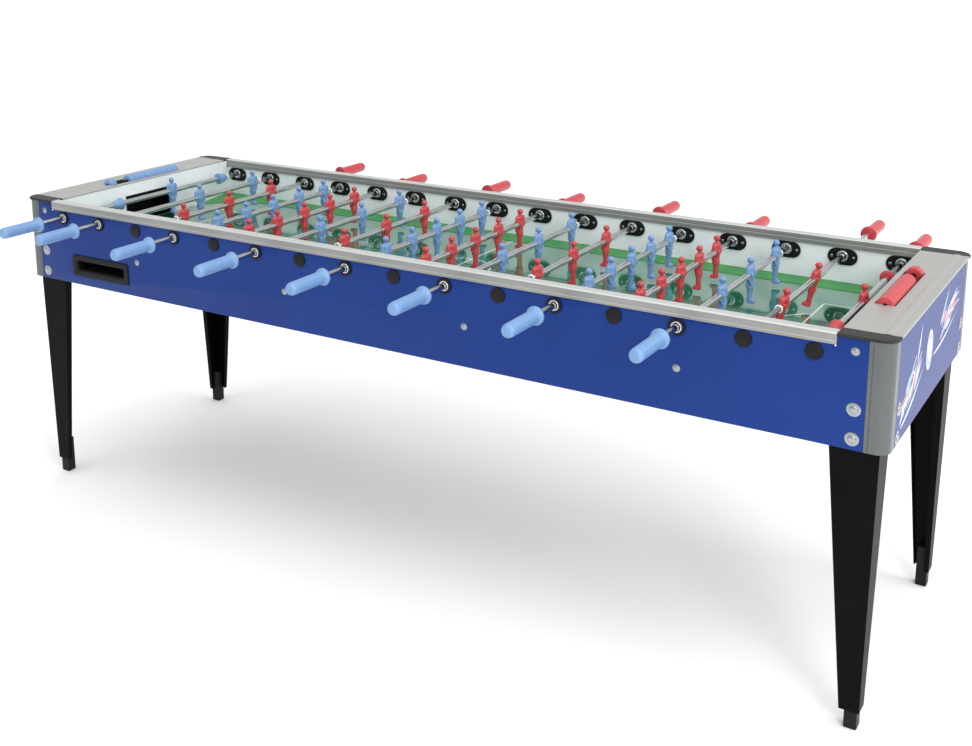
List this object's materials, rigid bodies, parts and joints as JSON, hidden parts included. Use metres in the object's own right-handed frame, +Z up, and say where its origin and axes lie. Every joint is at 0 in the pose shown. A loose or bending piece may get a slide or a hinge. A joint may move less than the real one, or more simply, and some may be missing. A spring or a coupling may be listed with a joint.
{
  "type": "foosball table",
  "caption": "Long free-standing foosball table with telescopic rods, player figures, handles, sliding score rings, goal mouths, ball return cups and tapered legs with levelling feet.",
  "frame": {"origin": "on the floor under the middle of the bounding box: mid length, and midway between the outermost handle ends", "axes": "+X along the table towards the red goal, -Y towards the side of the blue handles, +Z up"},
  "size_m": [2.58, 1.395, 0.9158],
  "materials": {
    "blue_laminate": "satin blue laminate on board",
    "aluminium": "brushed",
    "black_plastic": "moulded",
    "black_steel": "satin black coating on folded steel",
    "white_board": "white laminate",
    "green_glass": "printed green under a glossy sheet",
    "chrome": "polished",
    "blue_plastic": "moulded",
    "red_plastic": "moulded"
  },
  "bodies": {
    "cabinet": {"front_panel": "blue_laminate", "back_panel": "blue_laminate", "left_end_panel": "blue_laminate", "right_end_panel": "blue_laminate", "left_goal_wall": "white_board", "right_goal_wall": "white_board", "playfield": "green_glass", "ball_tray": "black_plastic", "front_rail": "aluminium", "back_rail": "aluminium", "left_end_top": "aluminium", "right_end_top": "aluminium", "corner_post_front_left": "aluminium", "leg_front_left": "black_steel", "corner_post_front_right": "aluminium", "leg_front_right": "black_steel", "corner_post_back_left": "aluminium", "leg_back_left": "black_steel", "corner_post_back_right": "aluminium", "leg_back_right": "black_steel"},
    "foot_front_left": {"foot_front_left": "black_plastic"},
    "foot_front_right": {"foot_front_right": "black_plastic"},
    "foot_back_left": {"foot_back_left": "black_plastic"},
    "foot_back_right": {"foot_back_right": "black_plastic"},
    "inner_rod_01": {"inner_rod_01": "chrome"},
    "blue_rod_01": {"blue_rod_01": "blue_plastic"},
    "inner_rod_02": {"inner_rod_02": "chrome"},
    "blue_rod_02": {"blue_rod_02": "blue_plastic"},
    "inner_rod_03": {"inner_rod_03": "chrome"},
    "red_rod_03": {"red_rod_03": "red_plastic"},
    "inner_rod_04": {"inner_rod_04": "chrome"},
    "blue_rod_04": {"blue_rod_04": "blue_plastic"},
    "inner_rod_05": {"inner_rod_05": "chrome"},
    "red_rod_05": {"red_rod_05": "red_plastic"},
    "inner_rod_06": {"inner_rod_06": "chrome"},
    "blue_rod_06": {"blue_rod_06": "blue_plastic"},
    "inner_rod_07": {"inner_rod_07": "chrome"},
    "red_rod_07": {"red_rod_07": "red_plastic"},
    "inner_rod_08": {"inner_rod_08": "chrome"},
    "blue_rod_08": {"blue_rod_08": "blue_plastic"},
    "inner_rod_09": {"inner_rod_09": "chrome"},
    "red_rod_09": {"red_rod_09": "red_plastic"},
    "inner_rod_10": {"inner_rod_10": "chrome"},
    "blue_rod_10": {"blue_rod_10": "blue_plastic"},
    "inner_rod_11": {"inner_rod_11": "chrome"},
    "red_rod_11": {"red_rod_11": "red_plastic"},
    "inner_rod_12": {"inner_rod_12": "chrome"},
    "blue_rod_12": {"blue_rod_12": "blue_plastic"},
    "inner_rod_13": {"inner_rod_13": "chrome"},
    "red_rod_13": {"red_rod_13": "red_plastic"},
    "inner_rod_14": {"inner_rod_14": "chrome"},
    "blue_rod_14": {"blue_rod_14": "blue_plastic"},
    "inner_rod_15": {"inner_rod_15": "chrome"},
    "red_rod_15": {"red_rod_15": "red_plastic"},
    "inner_rod_16": {"inner_rod_16": "chrome"},
    "red_rod_16": {"red_rod_16": "red_plastic"},
    "right_score_rings": {"right_score_rings": "red_plastic"},
    "right_score_ring_single": {"right_score_ring_single": "red_plastic"},
    "left_score_rings": {"left_score_rings": "blue_plastic"},
    "left_score_ring_single": {"left_score_ring_single": "blue_plastic"}
  },
  "joints": [
    {"name": "foot_front_left_level", "type": "slide", "parent": "cabinet", "child": "foot_front_left", "axis": [0, 0, -1], "range_m": [0, 0.02]},
    {"name": "foot_front_right_level", "type": "slide", "parent": "cabinet", "child": "foot_front_right", "axis": [0, 0, -1], "range_m": [0, 0.02]},
    {"name": "foot_back_left_level", "type": "slide", "parent": "cabinet", "child": "foot_back_left", "axis": [0, 0, -1], "range_m": [0, 0.02]},
    {"name": "foot_back_right_level", "type": "slide", "parent": "cabinet", "child": "foot_back_right", "axis": [0, 0, -1], "range_m": [0, 0.02]},
    {"name": "rod_01_spin", "type": "hinge", "parent": "cabinet", "child": "inner_rod_01", "pos_m": [-1.125, -0.075, 0.852], "axis": [0, 1, 0], "range_deg": [-195, 28]},
    {"name": "rod_01_slide", "type": "slide", "parent": "inner_rod_01", "child": "blue_rod_01", "axis": [0, 1, 0], "range_m": [-0.16, 0.05]},
    {"name": "rod_02_spin", "type": "hinge", "parent": "cabinet", "child": "inner_rod_02", "pos_m": [-0.975, -0.075, 0.852], "axis": [0, 1, 0], "continuous": true},
    {"name": "rod_02_slide", "type": "slide", "parent": "inner_rod_02", "child": "blue_rod_02", "axis": [0, 1, 0], "range_m": [-0.36, 0.05]},
    {"name": "rod_03_spin", "type": "hinge", "parent": "cabinet", "child": "inner_rod_03", "pos_m": [-0.825, -0.075, 0.852], "axis": [0, 1, 0], "continuous": true},
    {"name": "rod_03_slide", "type": "slide", "parent": "inner_rod_03", "child": "red_rod_03", "axis": [0, 1, 0], "range_m": [-0.135, 0.135]},
    {"name": "rod_04_spin", "type": "hinge", "parent": "cabinet", "child": "inner_rod_04", "pos_m": [-0.675, -0.075, 0.852], "axis": [0, 1, 0], "continuous": true},
    {"name": "rod_04_slide", "type": "slide", "parent": "inner_rod_04", "child": "blue_rod_04", "axis": [0, 1, 0], "range_m": [-0.12, 0.05]},
    {"name": "rod_05_spin", "type": "hinge", "parent": "cabinet", "child": "inner_rod_05", "pos_m": [-0.525, -0.075, 0.852], "axis": [0, 1, 0], "continuous": true},
    {"name": "rod_05_slide", "type": "slide", "parent": "inner_rod_05", "child": "red_rod_05", "axis": [0, 1, 0], "range_m": [-0.085, 0.085]},
    {"name": "rod_06_spin", "type": "hinge", "parent": "cabinet", "child": "inner_rod_06", "pos_m": [-0.375, -0.075, 0.852], "axis": [0, 1, 0], "continuous": true},
    {"name": "rod_06_slide", "type": "slide", "parent": "inner_rod_06", "child": "blue_rod_06", "axis": [0, 1, 0], "range_m": [-0.22, 0.05]},
    {"name": "rod_07_spin", "type": "hinge", "parent": "cabinet", "child": "inner_rod_07", "pos_m": [-0.225, -0.075, 0.852], "axis": [0, 1, 0], "continuous": true},
    {"name": "rod_07_slide", "type": "slide", "parent": "inner_rod_07", "child": "red_rod_07", "axis": [0, 1, 0], "range_m": [-0.135, 0.135]},
    {"name": "rod_08_spin", "type": "hinge", "parent": "cabinet", "child": "inner_rod_08", "pos_m": [-0.075, -0.075, 0.852], "axis": [0, 1, 0], "continuous": true},
    {"name": "rod_08_slide", "type": "slide", "parent": "inner_rod_08", "child": "blue_rod_08", "axis": [0, 1, 0], "range_m": [-0.12, 0.05]},
    {"name": "rod_09_spin", "type": "hinge", "parent": "cabinet", "child": "inner_rod_09", "pos_m": [0.075, -0.075, 0.852], "axis": [0, 1, 0], "continuous": true},
    {"name": "rod_09_slide", "type": "slide", "parent": "inner_rod_09", "child": "red_rod_09", "axis": [0, 1, 0], "range_m": [-0.085, 0.085]},
    {"name": "rod_10_spin", "type": "hinge", "parent": "cabinet", "child": "inner_rod_10", "pos_m": [0.225, -0.075, 0.852], "axis": [0, 1, 0], "continuous": true},
    {"name": "rod_10_slide", "type": "slide", "parent": "inner_rod_10", "child": "blue_rod_10", "axis": [0, 1, 0], "range_m": [-0.22, 0.05]},
    {"name": "rod_11_spin", "type": "hinge", "parent": "cabinet", "child": "inner_rod_11", "pos_m": [0.375, -0.075, 0.852], "axis": [0, 1, 0], "continuous": true},
    {"name": "rod_11_slide", "type": "slide", "parent": "inner_rod_11", "child": "red_rod_11", "axis": [0, 1, 0], "range_m": [-0.135, 0.135]},
    {"name": "rod_12_spin", "type": "hinge", "parent": "cabinet", "child": "inner_rod_12", "pos_m": [0.525, -0.075, 0.852], "axis": [0, 1, 0], "continuous": true},
    {"name": "rod_12_slide", "type": "slide", "parent": "inner_rod_12", "child": "blue_rod_12", "axis": [0, 1, 0], "range_m": [-0.12, 0.05]},
    {"name": "rod_13_spin", "type": "hinge", "parent": "cabinet", "child": "inner_rod_13", "pos_m": [0.675, -0.075, 0.852], "axis": [0, 1, 0], "continuous": true},
    {"name": "rod_13_slide", "type": "slide", "parent": "inner_rod_13", "child": "red_rod_13", "axis": [0, 1, 0], "range_m": [-0.085, 0.085]},
    {"name": "rod_14_spin", "type": "hinge", "parent": "cabinet", "child": "inner_rod_14", "pos_m": [0.825, -0.075, 0.852], "axis": [0, 1, 0], "continuous": true},
    {"name": "rod_14_slide", "type": "slide", "parent": "inner_rod_14", "child": "blue_rod_14", "axis": [0, 1, 0], "range_m": [-0.22, 0.05]},
    {"name": "rod_15_spin", "type": "hinge", "parent": "cabinet", "child": "inner_rod_15", "pos_m": [0.975, -0.075, 0.852], "axis": [0, 1, 0], "continuous": true},
    {"name": "rod_15_slide", "type": "slide", "parent": "inner_rod_15", "child": "red_rod_15", "axis": [0, 1, 0], "range_m": [-0.205, 0.205]},
    {"name": "rod_16_spin", "type": "hinge", "parent": "cabinet", "child": "inner_rod_16", "pos_m": [1.125, -0.075, 0.852], "axis": [0, 1, 0], "range_deg": [-28, 195]},
    {"name": "rod_16_slide", "type": "slide", "parent": "inner_rod_16", "child": "red_rod_16", "axis": [0, 1, 0], "range_m": [-0.105, 0.105]},
    {"name": "right_score_rings_slide", "type": "slide", "parent": "cabinet", "child": "right_score_rings", "axis": [0, -1, 0], "range_m": [-0.0575, 0]},
    {"name": "right_score_ring_single_slide", "type": "slide", "parent": "cabinet", "child": "right_score_ring_single", "axis": [0, -1, 0], "range_m": [0, 0.0575]},
    {"name": "left_score_rings_slide", "type": "slide", "parent": "cabinet", "child": "left_score_rings", "axis": [0, 1, 0], "range_m": [-0.0575, 0]},
    {"name": "left_score_ring_single_slide", "type": "slide", "parent": "cabinet", "child": "left_score_ring_single", "axis": [0, 1, 0], "range_m": [0, 0.0575]}
  ]
}
